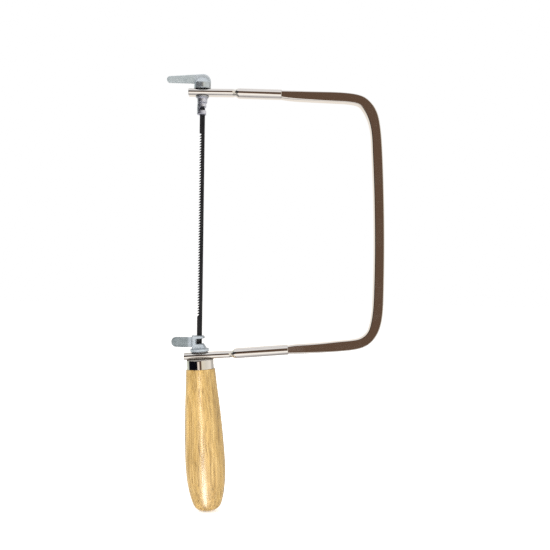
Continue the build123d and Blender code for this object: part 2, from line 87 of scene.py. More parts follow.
def smooth_step(t):
    t = min(1.0, max(0.0, t))
    return t * t * (3 - 2 * t)


def new_object(name, verts, faces, normals):
    """Mesh object from points in millimetres, smooth, with its own normals."""
    mesh = bpy.data.meshes.new(name)
    mesh.from_pydata([tuple(v) for v in np.asarray(verts) * MM], [], faces)
    mesh.update()
    mesh.shade_smooth()
    normals = np.asarray(normals, float)
    normals /= np.maximum(np.linalg.norm(normals, axis=1, keepdims=True), 1e-12)
    mesh.normals_split_custom_set_from_vertices([tuple(v) for v in normals])
    ob = bpy.data.objects.new(name, mesh)
    scene.collection.objects.link(ob)
    return ob


def bake_modifiers(ob, name):
    """Swap the object's mesh for the result of its modifiers."""
    evaluated = ob.evaluated_get(bpy.context.evaluated_depsgraph_get())
    baked = bpy.data.meshes.new_from_object(evaluated)
    old = ob.data
    ob.modifiers.clear()
    ob.data = baked
    bpy.data.meshes.remove(old)
    baked.name = name


def grid_faces(rows, cols, wrap_rows):
    """Quads between successive rings of vertices; each ring is closed."""
    faces = []
    for i in range(rows if wrap_rows else rows - 1):
        i2 = (i + 1) % rows
        for j in range(cols):
            j2 = (j + 1) % cols
            faces.append((i * cols + j, i * cols + j2, i2 * cols + j2, i2 * cols + j))
    return faces


def spline_points(points, per_mm, start_dir, end_dir):
    """C2 cubic through the points, by chord length, with given end directions.

    Returns points about 1 / per_mm apart and their unit tangents.
    """
    p = np.asarray(points, float)
    chords = np.linalg.norm(np.diff(p, axis=0), axis=1)
    n = len(p)
    matrix = np.zeros((n, n))
    rhs = np.zeros((n, 2))
    for i in range(1, n - 1):
        h0, h1 = chords[i - 1], chords[i]
        matrix[i, i - 1] = h1
        matrix[i, i] = 2 * (h0 + h1)
        matrix[i, i + 1] = h0
        rhs[i] = 3 * (h1 * (p[i] - p[i - 1]) / h0 + h0 * (p[i + 1] - p[i]) / h1)
    matrix[0, 0] = matrix[-1, -1] = 1
    rhs[0], rhs[-1] = unit(start_dir), unit(end_dir)
    slopes = np.linalg.solve(matrix, rhs)
    curve, tangents = [], []
    for i, h in enumerate(chords):
        steps = max(2, int(math.ceil(h * per_mm)))
        if i < n - 2:
            s = np.linspace(0, 1, steps, endpoint=False)
        else:
            s = np.linspace(0, 1, steps + 1)
        s = s[:, None]
        s2, s3 = s * s, s ** 3
        curve.append((2 * s3 - 3 * s2 + 1) * p[i] + (s3 - 2 * s2 + s) * h * slopes[i]
                     + (-2 * s3 + 3 * s2) * p[i + 1] + (s3 - s2) * h * slopes[i + 1])
        tangents.append((6 * s2 - 6 * s) * p[i] / h + (3 * s2 - 4 * s + 1) * slopes[i]
                        + (-6 * s2 + 6 * s) * p[i + 1] / h + (3 * s2 - 2 * s) * slopes[i + 1])
    curve, tangents = np.vstack(curve), np.vstack(tangents)
    return curve, tangents / np.linalg.norm(tangents, axis=1, keepdims=True)


# Directions of a profile that turn by more than this keep a sharp corner.
SHARP_TURN = 35


def lathe(name, profile, segments):
    """Solid turned round the lower axis from a closed (radius, height) profile.

    The profile runs clockwise, with height up. Points at sharp corners are doubled.
    """
    profile = [np.array(p, float) for p in profile]
    points, normals = [], []
    for i, point in enumerate(profile):
        before = unit(point - profile[i - 1])
        after = unit(profile[(i + 1) % len(profile)] - point)
        turn = math.degrees(math.acos(max(-1, min(1, float(before @ after)))))
        if turn > SHARP_TURN:
            points += [point, point]
            normals += [left_normal(before), left_normal(after)]
        else:
            points.append(point)
            normals.append(left_normal(unit(before + after)))
    verts, vert_normals = [], []
    for (radius, height), normal in zip(points, normals):
        for k in range(segments):
            angle = 2 * math.pi * k / segments
            radial = AXIS_X * math.cos(angle) + AXIS_Y * math.sin(angle)
            verts.append(PIN + radial * radius + AXIS_Z * height)
            vert_normals.append(radial * normal[0] + AXIS_Z * normal[1])
    faces = [f[::-1] for f in grid_faces(len(points), segments, wrap_rows=True)]
    return new_object(name, verts, faces, vert_normals)


# ---------------------------------------------------------------------- bow
# Outlines as (x, z), from the upper arm round to the lower arm.
BOW_OUTER = [
    (82.9, 94), (101.68, 93.35), (108.43, 92.4), (113.27, 90.74),
    (117.22, 87.77), (120.25, 84.12), (122.65, 79.5), (124.57, 71.74),
    (126.32, 54.93), (127.65, 28.4), (128.49, 2.48), (128.83, -23.32),
    (128.69, -49.49), (127.9, -63.52), (126.05, -71.51), (123.61, -76.56),
    (120.95, -80.07), (117.19, -83.06), (111.56, -85.32), (103.27, -86.74),
    (84.79, -88.34)]
BOW_INNER = [
    (72.82, 87.85), (95.05, 87.12), (106.29, 86.2), (109.13, 85.46),
    (110.78, 84.54), (112.65, 82.38), (115.82, 76.75), (118.23, 68.86),
    (119.57, 55.33), (120.92, 29.04), (121.76, 3.96), (122.15, -21.07),
    (121.91, -45.89), (120.94, -62.4), (119.64, -69.4), (117.99, -73.61),
    (115.94, -75.85), (113.1, -77.74), (108.89, -78.94), (101.13, -79.91),
    (78.29, -82.27)]
# The tubes' straight sleeves, from where the full section starts to the mouth
# the bow enters.
UP_SLEEVE, UP_MOUTH = np.array([26.0, 92.62]), np.array([55.5, 92.16])
LO_SLEEVE, LO_MOUTH = np.array([26.42, -89.75]), np.array([62.42, -86.73])
UP_DIR, LO_DIR = unit(UP_MOUTH - UP_SLEEVE), unit(LO_MOUTH - LO_SLEEVE)
# The bow's outer and inner edge at each mouth, off the sleeve's centre line
UP_OUTER, UP_INNER = 2.5, -2.95
LO_OUTER, LO_INNER = -2.9, 2.75

OUTER_PER_MM, INNER_PER_MM = 2.0, 6.0      # points per millimetre of edge
MATCH_BAND, MATCH_AHEAD = 1.0, 400         # search for the facing inner point: mm, points
BOW_DEPTH, BOW_MOUTH_DEPTH = 8.0, 7.2      # thickness along Y
DEPTH_TAPER = 12.0                         # length over which the depth grows
BOW_CORNER, MOUTH_CORNER = 0.52, 1.15      # corner radii of the section
CORNER_TAPER = 38.0                        # length over which the radius shrinks
CORNER_SEGMENTS = 7
BOW_INSET = 0.01
# Section corners: sign along Y, sign across the bow, start angle
BOW_CORNERS = [(-1, -1, 180), (1, -1, 270), (1, 1, 0), (-1, 1, 90)]


def bow_sections():
    """Centre, across direction, half height, outer and inner normal of each section."""
    up_normal, lo_normal = left_normal(UP_DIR), left_normal(LO_DIR)
    outer, outer_dirs = spline_points(
        [UP_MOUTH + UP_OUTER * up_normal, *BOW_OUTER, LO_MOUTH + LO_OUTER * lo_normal],
        OUTER_PER_MM, start_dir=UP_DIR, end_dir=(-1, -0.03))
    inner, inner_dirs = spline_points(
        [UP_MOUTH + UP_INNER * up_normal, *BOW_INNER, LO_MOUTH + LO_INNER * lo_normal],
        INNER_PER_MM, start_dir=(0.985, -0.17), end_dir=(-0.97, -0.23))
    sections = []
    facing = 0
    for i, (point, direction) in enumerate(zip(outer, outer_dirs)):
        if i == len(outer) - 1:
            facing = len(inner) - 1
        elif i > 0:
            # the next inner point square across from this outer point
            along = np.abs((inner - point) @ direction)
            level = np.where(along < MATCH_BAND)[0]
            level = level[(level >= facing) & (level < facing + MATCH_AHEAD)]
            if len(level):
                facing = level[np.argmin(along[level])]
        across = point - inner[facing]
        sections.append(((point + inner[facing]) / 2, unit(across),
                         np.linalg.norm(across) / 2, left_normal(direction),
                         -left_normal(inner_dirs[facing])))
    return sections


def build_bow():
    """Softly rounded rectangular bar whose corners open up towards the two mouths."""
    sections = bow_sections()
    centres = np.array([section[0] for section in sections])
    lengths = np.r_[0, np.cumsum(np.linalg.norm(np.diff(centres, axis=0), axis=1))]
    verts, normals = [], []
    for length, (centre, across, half, outer_normal, inner_normal) in zip(lengths, sections):
        from_mouth = min(length, lengths[-1] - length)
        half_depth = (BOW_MOUTH_DEPTH + (BOW_DEPTH - BOW_MOUTH_DEPTH)
                      * smooth_step(from_mouth / DEPTH_TAPER)) / 2
        half_height = half - BOW_INSET
        radius = MOUTH_CORNER + (BOW_CORNER - MOUTH_CORNER) * smooth_step(
            from_mouth / CORNER_TAPER)
        for y_sign, across_sign, start in BOW_CORNERS:
            for k in range(CORNER_SEGMENTS + 1):
                angle = math.radians(start + 90 * k / CORNER_SEGMENTS)
                cos, sin = math.cos(angle), math.sin(angle)      # along Y, across the bow
                y = y_sign * (half_depth - radius) + radius * cos
                x, z = centre + across * (across_sign * (half_height - radius) + radius * sin)
                side = outer_normal if sin > 0 else inner_normal
                verts.append((x, y, z))
                normals.append((side[0] * abs(sin), cos, side[1] * abs(sin)))
    cols = 4 * (CORNER_SEGMENTS + 1)
    faces = grid_faces(len(sections), cols, wrap_rows=False)
    faces.append(tuple(range(cols))[::-1])
    faces.append(tuple(range(len(verts) - cols, len(verts))))
    return new_object("bow_bar", verts, faces, normals)


# --------------------------------------------------------------------- tubes
# Height is across the tube in the XZ plane, depth along Y.
WALL = 0.8
CAD_SEAT_HEIGHT = 4.85                 # the tube's nominal height at its seat
SEAT_HEIGHT, SEAT_DEPTH = 4.79, 8.8    # 0.03 mm clear of the washers on each side
PINCH_HEIGHT, PINCH_DEPTH = 4.35, 6.9
UP_SLEEVE_HEIGHT, LO_SLEEVE_HEIGHT, SLEEVE_DEPTH = 6.6, 7.1, 8.8
PINCH_LEAD, PINCH_SPREAD = 1.9, 0.95   # run-in ahead of the pinch, its half width
SWELL_START = 2.1                      # where the swell starts, from the run-in's start
STRAIGHT_STATIONS, SWELL_STATIONS = 60, 41
ROUND_SEGMENTS, FLAT_SEGMENTS = 16, 6
LIP_BULGE, LIP_STEPS = 0.28, 7

# Centres of the shank holes, (x, z)
UP_SEAT = np.array([0.0, 92.85])
SEAT_H = -10.75                        # lower tube's centre on the lower axis
LO_HOLE = PIN + AXIS_Z * SEAT_H
LO_SEAT = LO_HOLE[[0, 2]]
LO_SEAT_DIR = AXIS_X[[0, 2]]
HOLE_RADIUS, DRILL_LENGTH, DRILL_SEGMENTS = 2.5, 14, 72


def obround(depth, height):
    """(y, across, y normal, across normal) round a flattened tube section."""
    radius = height / 2
    half_flat = max(1e-4, (depth - height) / 2)
    points = []
    for side in (1, -1):
        for k in range(FLAT_SEGMENTS):
            y = side * (half_flat - 2 * half_flat * k / FLAT_SEGMENTS)
            points.append((y, side * radius, 0.0, float(side)))
        for k in range(ROUND_SEGMENTS):
            angle = side * math.pi / 2 + math.pi * k / ROUND_SEGMENTS
            cos, sin = math.cos(angle), math.sin(angle)
            points.append((-side * half_flat + radius * cos, radius * sin, cos, sin))
    return points


def arm_stations(seat, seat_dir, end_offset, neck_offset, sleeve, mouth, sleeve_height):
    """Stations along an arm: centre, direction, outer depth and height.

    The offsets of the tube's end and of the pinched neck are measured from the seat.
    """
    sleeve_dir = unit(mouth - sleeve)
    end = seat + seat_dir * end_offset
    neck = seat + seat_dir * neck_offset
    seat_end = neck - seat_dir * PINCH_LEAD
    stations = []
    for s in np.linspace(0, 1, STRAIGHT_STATIONS):
        stations.append((end + (seat_end - end) * s, seat_dir, SEAT_DEPTH, SEAT_HEIGHT))
    # pinch and swell in one smooth run, as the seat line eases on to the sleeve line
    run = np.linalg.norm(sleeve - seat_end)
    for s in np.linspace(0, 1, SWELL_STATIONS)[1:]:
        blend = smooth_step((s * run - SWELL_START) / (run - SWELL_START))
        on_seat = neck + seat_dir * (s * run - PINCH_LEAD)
        on_sleeve = sleeve + sleeve_dir * ((s - 1) * run)
        pinch = math.exp(-((s * run - PINCH_LEAD) / PINCH_SPREAD) ** 2)
        height = SEAT_HEIGHT + (sleeve_height - SEAT_HEIGHT) * blend
        depth = SEAT_DEPTH + (SLEEVE_DEPTH - SEAT_DEPTH) * blend
        height -= (SEAT_HEIGHT - PINCH_HEIGHT) * pinch
        depth -= (SEAT_DEPTH - PINCH_DEPTH) * pinch
        stations.append((on_seat * (1 - blend) + on_sleeve * blend,
                         unit(seat_dir * (1 - blend) + sleeve_dir * blend), depth, height))
    for s in np.linspace(0, 1, STRAIGHT_STATIONS)[1:]:
        stations.append((sleeve + (mouth - sleeve) * s, sleeve_dir, SLEEVE_DEPTH, sleeve_height))
    return stations


def build_tube(name, stations):
    """Inner skin from mouth to end, a rounded lip, the outer skin back, and a second lip."""
    verts, normals = [], []

    def ring(centre, direction, depth, height, outward=1.0, forward=0.0, slopes=(0.0, 0.0)):
        """outward and forward set the normal; slopes of depth and height tip it back."""
        across = left_normal(direction)
        for y, u, y_normal, u_normal in obround(depth, height):
            x, z = centre + across * u
            slope = slopes[1] * abs(u_normal) + slopes[0] * abs(y_normal)
            nx, nz = across * u_normal * outward + direction * (forward - slope)
            verts.append((x, y, z))
            normals.append((nx, y_normal * outward, nz))

    def lip(station, side):
        """Half-round lip; side is -1 at the near end, 1 at the mouth."""
        centre, direction, depth, height = station
        for k in range(1, LIP_STEPS):
            angle = math.pi * k / LIP_STEPS
            sin, cos = math.sin(angle), math.cos(angle)
            inward = WALL * (1 - side * cos)         # twice the distance in from the outer skin
            ring(centre + direction * (side * sin * LIP_BULGE), direction,
                 depth - inward, height - inward, outward=side * cos, forward=side * sin)

    for centre, direction, depth, height in stations[::-1]:
        ring(centre, direction, depth - 2 * WALL, height - 2 * WALL, outward=-1.0)
    lip(stations[0], -1)
    for i, (centre, direction, depth, height) in enumerate(stations):
        before, after = stations[max(0, i - 1)], stations[min(len(stations) - 1, i + 1)]
        gap = np.linalg.norm(after[0] - before[0])
        ring(centre, direction, depth, height,
             slopes=[(after[k] - before[k]) / 2 / gap for k in (2, 3)])
    lip(stations[-1], 1)
    cols = 2 * (ROUND_SEGMENTS + FLAT_SEGMENTS)
    return new_object(name, verts, grid_faces(len(verts) // cols, cols, wrap_rows=True), normals)


def cross_bore(ob, origin, axis):
    """Drill the shank's clearance hole right through both walls of a tube."""
    bm = bmesh.new()
    bmesh.ops.create_cone(bm, cap_ends=True, segments=DRILL_SEGMENTS, radius1=HOLE_RADIUS * MM,
                          radius2=HOLE_RADIUS * MM, depth=DRILL_LENGTH * MM)
    mesh = bpy.data.meshes.new("drill")
    bm.to_mesh(mesh)
    bm.free()
    drill = bpy.data.objects.new("drill", mesh)
    scene.collection.objects.link(drill)
    drill.rotation_mode = "QUATERNION"
    drill.rotation_quaternion = Vector((0, 0, 1)).rotation_difference(Vector(axis))
    drill.location = Vector(origin) * MM
    bore = ob.modifiers.new("bore", "BOOLEAN")
    bore.operation = "DIFFERENCE"
    bore.solver = "EXACT"
    bore.object = drill
    bpy.context.view_layer.update()
    bake_modifiers(ob, ob.name)
    bpy.data.objects.remove(drill)
    bpy.data.meshes.remove(mesh)


# ------------------------------------------------------------------ castings
VOXEL = 0.14


def cast_from(node, name, inset):
    """High-resolution skin of a CAD node: fine voxel remesh, then softened edges."""
    ob = bpy.data.objects.new(name, NODES[node].data.copy())
    ob.data.name = name
    scene.collection.objects.link(ob)
    bm = bmesh.new()
    bm.from_mesh(ob.data)
    bmesh.ops.remove_doubles(bm, verts=bm.verts, dist=1e-6)
    bm.to_mesh(ob.data)
    bm.free()
    remesh = ob.modifiers.new("remesh", "REMESH")
    remesh.mode = "VOXEL"
    remesh.voxel_size = VOXEL * MM
    remesh.use_smooth_shade = True
    smooth = ob.modifiers.new("smooth", "SMOOTH")
    smooth.factor = 0.3
    smooth.iterations = 2
    shrink = ob.modifiers.new("inset", "DISPLACE")
    shrink.mid_level = 0.0
    shrink.strength = -inset * MM
    bake_modifiers(ob, name)
    ob.data.shade_smooth()
    return ob


# The hook casting's shank and flange, on the lower axis
CLEARANCE_TOP = -7.2          # nothing above this is touched
SHANK_RADIUS, SHANK_TOP = 2.75, -7.6
SHANK_CLEARANCE = 0.11
FLANGE_SEAT = -7.74


def clear_shank(ob):
    """Restore the clearances that the coarse remesh would close up.

    The keyed shank runs free in the washer and the tube, and the flange sits
    just above the washer.
    """
    for vert in ob.data.vertices:
        offset = np.array(vert.co) / MM - PIN
        height = float(offset @ AXIS_Z)
        if height > CLEARANCE_TOP:
            continue
        radial = offset - AXIS_Z * height
        radius = float(np.linalg.norm(radial))
        if radius >= SHANK_RADIUS:
            height = max(height, FLANGE_SEAT)
        elif height < SHANK_TOP:
            radial *= max(0.0, radius - SHANK_CLEARANCE) / max(radius, 1e-6)
        vert.co = Vector((PIN + AXIS_Z * height + radial) * MM)
    ob.data.update()


# -------------------------------------------------------- ferrule and handle
FERRULE_TOP = SEAT_H - CAD_SEAT_HEIGHT / 2 - 0.05
FERRULE_BOTTOM = FERRULE_TOP - 6.7
FERRULE_RADIUS = 9.45
FERRULE_WALL = 0.8
FERRULE_HOLE = 2.57
CROWN_CENTRE, CROWN_WIDTH, CROWN_DROP = FERRULE_RADIUS - 4.25, 4.19, 0.42   # rounded shoulder
RIM_ROUND = 0.12                              # rounding at the cup's lower rim


def build_ferrule():
    """A thin cup, open below, with a hole for the shank in its top."""
    top, bottom, radius = FERRULE_TOP, FERRULE_BOTTOM, FERRULE_RADIUS
    profile = [(FERRULE_HOLE, top), (radius - 4.4, top)]
    for angle in range(6, 86, 6):
        a = math.radians(angle)
        profile.append((CROWN_CENTRE + CROWN_WIDTH * math.sin(a),
                        top - CROWN_DROP * (1 - math.cos(a))))
    # the side wall flares very slightly on its way down
    side_top, side_bottom = top - 0.9, bottom + 0.45
    profile += [(radius - 0.05, top - 0.50)]
    profile += [(radius - 0.045 + 0.02 * t, side_top + (side_bottom - side_top) * t)
                for t in (0.0, 0.25, 0.5, 0.75, 1.0)]
    profile.append((radius - 0.02, bottom + 0.22))
    for k in range(6):
        a = math.radians(-90 * k / 5)
        profile.append((radius - 0.14 + RIM_ROUND * math.cos(a),
                        bottom + RIM_ROUND + RIM_ROUND * math.sin(a)))
    # inside of the cup, with a chamfer under its top
    inside = radius - FERRULE_WALL
    profile += [(inside, bottom), (inside, top - 1.4), (radius - 1.3, top - FERRULE_WALL),
                (FERRULE_HOLE, top - FERRULE_WALL)]
    return lathe("ferrule_cup", profile, segments=128)


# The grip's outline, (height, radius)
HANDLE_PROFILE = [
    (-23.7, 10.46), (-29.3, 10.8), (-34.95, 11.24), (-40.55, 11.72),
    (-46.2, 12.19), (-51.8, 12.56), (-57.4, 12.9), (-63.1, 13.22),
    (-74.3, 13.66), (-79.9, 13.84), (-85.5, 13.91), (-91.2, 13.8),
    (-96.8, 13.47), (-102.45, 12.8), (-108.1, 11.78), (-113.7, 10.15),
    (-116.4, 8.8), (-118.1, 6.7)]
HANDLE_END = -119.2
SHOULDER = FERRULE_BOTTOM - 0.02
SOCKET_TOP = FERRULE_TOP - FERRULE_WALL - 0.02
FLANGE_RADIUS, FLANGE_FLOOR = 6.57, SOCKET_TOP - 1.66     # socket for the insert's flange
BARREL_RADIUS, BARREL_FLOOR = 3.96, SOCKET_TOP - 13.05    # and for its barrel
BORE_RADIUS = 2.9                             # bore under the barrel, with a conical tip
BORE_FLOOR, BORE_TIP = -52.0, -54.0
CENTRE_RADIUS = 0.02                          # the solid stops just short of its axis
SKIN_INSET = 0.012                            # a hair inside the CAD skin


def build_grip():
    """The turned handle, with a spigot up into the ferrule and a stepped socket."""
    curve, _ = spline_points(
        [(10.15, SHOULDER - 0.4)] + [(r, h) for h, r in HANDLE_PROFILE] + [(3.6, HANDLE_END)],
        per_mm=1.2, start_dir=(0.12, -1), end_dir=(-1, -0.12))
    spigot = FERRULE_RADIUS - 0.84
    skin = [(FLANGE_RADIUS, SOCKET_TOP), (FERRULE_RADIUS - 1.7, SOCKET_TOP),
            (spigot, FERRULE_TOP - 1.7), (spigot, SHOULDER),
            (9.6, SHOULDER), (9.86, SHOULDER - 0.03), (10.05, SHOULDER - 0.16)]
    skin += [tuple(p) for p in curve]
    profile = [(r - SKIN_INSET if r > 5 else r, h) for r, h in skin]
    profile += [(1.8, HANDLE_END), (CENTRE_RADIUS, HANDLE_END), (CENTRE_RADIUS, BORE_TIP),
                (BORE_RADIUS, BORE_FLOOR), (BORE_RADIUS, BARREL_FLOOR),
                (BARREL_RADIUS, BARREL_FLOOR), (BARREL_RADIUS, FLANGE_FLOOR),
                (FLANGE_RADIUS, FLANGE_FLOOR)]
    return lathe("handle_turned", profile, segments=160)


# -------------------------------------------------------- shader node helpers
class Nodes:
    """Adds nodes to a tree. An input may be a plain value or another node's socket."""

    def __init__(self, tree):
        self.tree = tree
        tree.nodes.clear()

    def feed(self, socket, value):
        if isinstance(value, bpy.types.NodeSocket):
            self.tree.links.new(value, socket)
            return
        if socket.type == "RGBA" and len(value) == 3:
            value = (*value, 1.0)
        socket.default_value = value

    def node(self, kind, inputs=None, **props):
        n = self.tree.nodes.new(kind)
        for key, value in props.items():
            setattr(n, key, value)
        for key, value in (inputs or {}).items():
            self.feed(n.inputs[key], value)
        return n

    def xyz(self, vector):
        return self.node("ShaderNodeSeparateXYZ", {0: vector}).outputs

    def ramp(self, factor, stops):
        """Colour ramp from (position, rgb) stops."""
        n = self.node("ShaderNodeValToRGB", {"Fac": factor})
        elements = n.color_ramp.elements
        elements.remove(elements[-1])
        elements[0].position = stops[0][0]
        elements[0].color = (*stops[0][1], 1.0)
        for position, color in stops[1:]:
            elements.new(position).color = (*color, 1.0)
        return n.outputs["Color"]

    def math(self, operation, *values):
        return self.node("ShaderNodeMath", dict(enumerate(values)), operation=operation).outputs[0]

    def scaled(self, value, by):
        return self.math("MULTIPLY", value, by)

    def vector(self, operation, a, b):
        return self.node("ShaderNodeVectorMath", {0: a, 1: b}, operation=operation).outputs

    def remap(self, value, span, to=(0.0, 1.0), smooth=False):
        """Map span on to the range `to`, clamped."""
        return self.node("ShaderNodeMapRange", {0: value, 1: span[0], 2: span[1],
                                                3: to[0], 4: to[1]},
                         interpolation_type="SMOOTHSTEP" if smooth else "LINEAR").outputs[0]

    def mix(self, factor, a, b, blend="MIX"):
        return self.node("ShaderNodeMix", {0: factor, 6: a, 7: b},
                         data_type="RGBA", blend_type=blend).outputs[2]


BSDF_INPUTS = {"color": "Base Color", "metal": "Metallic", "rough": "Roughness",
               "normal": "Normal", "coat": "Coat Weight", "coat_rough": "Coat Roughness",
               "coat_normal": "Coat Normal", "spec": "Specular IOR Level"}


class Mat(Nodes):
    """Node material round one Principled shader, in object coordinates."""

    def __init__(self, name):
        self.material = bpy.data.materials.new(name)
        self.material.use_nodes = True
        super().__init__(self.material.node_tree)
        self.out = self.node("ShaderNodeOutputMaterial")
        self.bsdf = self.node("ShaderNodeBsdfPrincipled")
        self.feed(self.out.inputs[0], self.bsdf.outputs[0])
        self.co = self.node("ShaderNodeTexCoord").outputs["Object"]

    def mapping(self, scale=(1, 1, 1), turn=(0, 0, 0), source=None):
        return self.node("ShaderNodeMapping", {"Scale": scale, "Rotation": turn,
                                               "Vector": source or self.co}).outputs[0]

    def noise(self, vector, scale, detail, rough=0.55, warp=0.0):
        return self.node("ShaderNodeTexNoise", {
            "Scale": scale, "Detail": detail, "Roughness": rough, "Distortion": warp,
            "Vector": vector}).outputs["Fac"]

    def voronoi(self, scale):
        return self.node("ShaderNodeTexVoronoi", {"Scale": scale, "Vector": self.co}).outputs

    def bump(self, height, strength, distance, normal=None):
        inputs = {"Strength": strength, "Distance": distance, "Height": height}
        if normal is not None:
            inputs["Normal"] = normal
        return self.node("ShaderNodeBump", inputs).outputs[0]

    def painted_crevice_shade(self, color, dark, distance, strength, span):
        """Painted shade: darken a colour by ambient occlusion where surfaces close in on each
        other, standing in for the shadow in gaps and crevices.
        """
        ao = self.node("ShaderNodeAmbientOcclusion", {"Distance": distance}, samples=8)
        return self.mix(self.remap(ao.outputs["AO"], span, to=(strength, 0.0)), color, dark)

    def set(self, **values):
        for key, value in values.items():
            self.feed(self.bsdf.inputs[BSDF_INPUTS[key]], value)
        return self.material


def srgb(*rgb):
    """Linear colour from 0-255 sRGB values."""
    values = [c / 255 for c in rgb]
    return tuple(c / 12.92 if c <= 0.04045 else ((c + 0.055) / 1.055) ** 2.4 for c in values)


def shade(color, factor):
    return tuple(c * factor for c in color)


# ----------------------------------------------------------------- materials
def nickel(name, line_scale=(60, 900, 900), rough=0.075, dull_top=False):
    """Bright nickel plate: slow waviness, fine polishing lines, specks and haze."""
    tone, stain = (0.80, 0.765, 0.72), (0.20, 0.15, 0.11)
    k = Mat(name)
    lines = k.noise(k.mapping(line_scale), scale=1.0, detail=5, rough=0.65)
    haze = k.noise(k.co, scale=90, detail=5, rough=0.6)
    wave = k.noise(k.co, scale=55, detail=2, rough=0.4)
    speck = k.remap(k.voronoi(scale=420)["Distance"], span=(0.03, 0.10), to=(1.0, 0.0))
    patches = k.remap(k.noise(k.co, scale=130, detail=2), span=(0.54, 0.66))
    specks = k.scaled(k.math("MULTIPLY", speck, patches), by=1.0)
    roughness = k.remap(haze, span=(0.35, 0.75), to=(rough * 0.7, rough * 1.9))
    roughness = k.math("ADD", roughness, k.remap(lines, span=(0.45, 0.8), to=(0.0, 0.05)))
    roughness = k.math("ADD", roughness, k.scaled(specks, by=0.25))
    color = k.mix(k.remap(haze, span=(0.3, 0.8)), tone, shade(tone, 0.93))
    color = k.mix(k.scaled(specks, by=0.55), color, stain)
    if dull_top:
        # the spun end face was never polished like the wall
        geometry = k.node("ShaderNodeNewGeometry")
        top = k.remap(k.xyz(geometry.outputs["Normal"])[2], span=(0.30, 0.65))
        roughness = k.math("ADD", roughness, k.scaled(top, by=0.55))
    else:
        # painted shade: the crevices are darkened by ambient occlusion
        color = k.painted_crevice_shade(color, dark=(0.10, 0.09, 0.085), distance=0.0007,
                          strength=0.45, span=(0.15, 0.75))
    normal = k.bump(wave, strength=0.10, distance=0.00025)
    normal = k.bump(lines, strength=0.05, distance=0.00003, normal=normal)
    return k.set(color=color, metal=1.0, rough=roughness, normal=normal)


def zinc(name, light, dark, rough, metal, mottle, spots, edge,
         hub_x, hub_tone, hub_amount, hub_rough, hub_top):
    """Die-cast zinc: mottled, slightly grained, with pits and a rubbed round hub.

    The hub begins as x crosses hub_x and takes hub_amount of hub_tone; below z = hub_top it is
    also smoother. Painted shade darkens the crevices and the edges; edge sets how dark the edges
    get.
    """
    k = Mat(name)
    mottling = k.noise(k.co, scale=230, detail=3, rough=0.5, warp=0.4)
    grain = k.noise(k.co, scale=800, detail=2, rough=0.5)
    flake = k.node("ShaderNodeRGBToBW", {0: k.voronoi(scale=650)["Color"]}).outputs[0]
    skin = k.math("ADD", k.scaled(mottling, by=0.62),
                  k.math("ADD", k.scaled(grain, by=0.12), k.scaled(flake, by=0.26)))
    middle = tuple((a + b) / 2 for a, b in zip(light, dark))
    color = k.ramp(skin, [(0.30, dark), (0.50, middle), (0.68, light)])
    pit = k.remap(k.voronoi(scale=620)["Distance"], span=(0.08, 0.22), to=(1.0, 0.0))
    patches = k.remap(k.noise(k.co, scale=330, detail=2), span=(0.52, 0.62))
    pits = k.math("MULTIPLY", pit, patches)
    color = k.mix(k.scaled(pits, by=spots), color, shade(dark, 0.42))
    # painted shade: the crevices and gaps are darkened by ambient occlusion
    color = k.painted_crevice_shade(color, dark=(0.04, 0.045, 0.05), distance=0.0018,
                      strength=0.9, span=(0.3, 0.85))
    # painted shade along the parting edges, where the rounded normal leaves the true one: the
    # edges are darkened to draw the dark outlines that shade gives them
    bevel = k.node("ShaderNodeBevel", {"Radius": 0.0009}, samples=6)
    geometry = k.node("ShaderNodeNewGeometry")
    dot = k.vector("DOT_PRODUCT", bevel.outputs[0], geometry.outputs["Normal"])
    painted_edge_shade = k.remap(dot["Value"], span=(0.998, 0.955), to=(0.0, edge))
    roughness = k.remap(skin, span=(0.3, 0.7), to=(rough * 1.25, rough * 0.75))
    relief = k.math("ADD", k.scaled(mottling, by=0.6), k.scaled(grain, by=0.4))
    relief = k.math("SUBTRACT", relief, k.scaled(pits, by=0.5))
    # the round body is rubbed bright, the part at -X keeps its cast skin
    x, _, z = k.xyz(k.co)
    hub = k.remap(x, span=hub_x, smooth=True)
    color = k.mix(k.scaled(hub, by=hub_amount), color, hub_tone)
    # painted edge shade: the edges darken towards near black
    color = k.mix(painted_edge_shade, color, (0.05, 0.06, 0.07))
    below = k.remap(z, span=(hub_top, hub_top + 0.0012), to=(1.0, 0.0), smooth=True)
    rubbed = k.math("MULTIPLY", hub, below)
    roughness = k.math("MULTIPLY", roughness, k.remap(rubbed, span=(0, 1), to=(1.0, hub_rough)))
    metallic = k.remap(rubbed, span=(0, 1), to=(metal, 0.85))
    strength = k.remap(rubbed, span=(0, 1), to=(0.13 * mottle, 0.05))
    normal = k.bump(relief, strength=strength, distance=0.00010)
    return k.set(color=color, metal=metallic, rough=roughness, normal=normal)


def turned_steel(name, tone, rough):
    """Turned and bright-plated steel with faint tool rings."""
    ring_pitch, ring_jitter = 0.00022, 0.00006
    k = Mat(name)
    height = k.xyz(k.co)[2]
    jitter = k.noise(k.co, scale=300, detail=2)
    height = k.math("ADD", height, k.scaled(jitter, by=ring_jitter))
    rings = k.math("SINE", k.scaled(height, by=2 * math.pi / ring_pitch))
    haze = k.noise(k.co, scale=350, detail=5, rough=0.6)
    color = k.mix(k.remap(haze, span=(0.35, 0.75)), tone, shade(tone, 0.8))
    roughness = k.remap(haze, span=(0.3, 0.75), to=(rough * 0.7, rough * 1.6))
    # painted shade: the crevices are darkened by ambient occlusion
    color = k.painted_crevice_shade(color, dark=(0.03, 0.03, 0.035), distance=0.0007,
                      strength=0.8, span=(0.2, 0.75))
    normal = k.bump(rings, strength=0.10, distance=0.00001)
    normal = k.bump(haze, strength=0.08, distance=0.00005, normal=normal)
    return k.set(color=color, metal=1.0, rough=roughness, normal=normal)


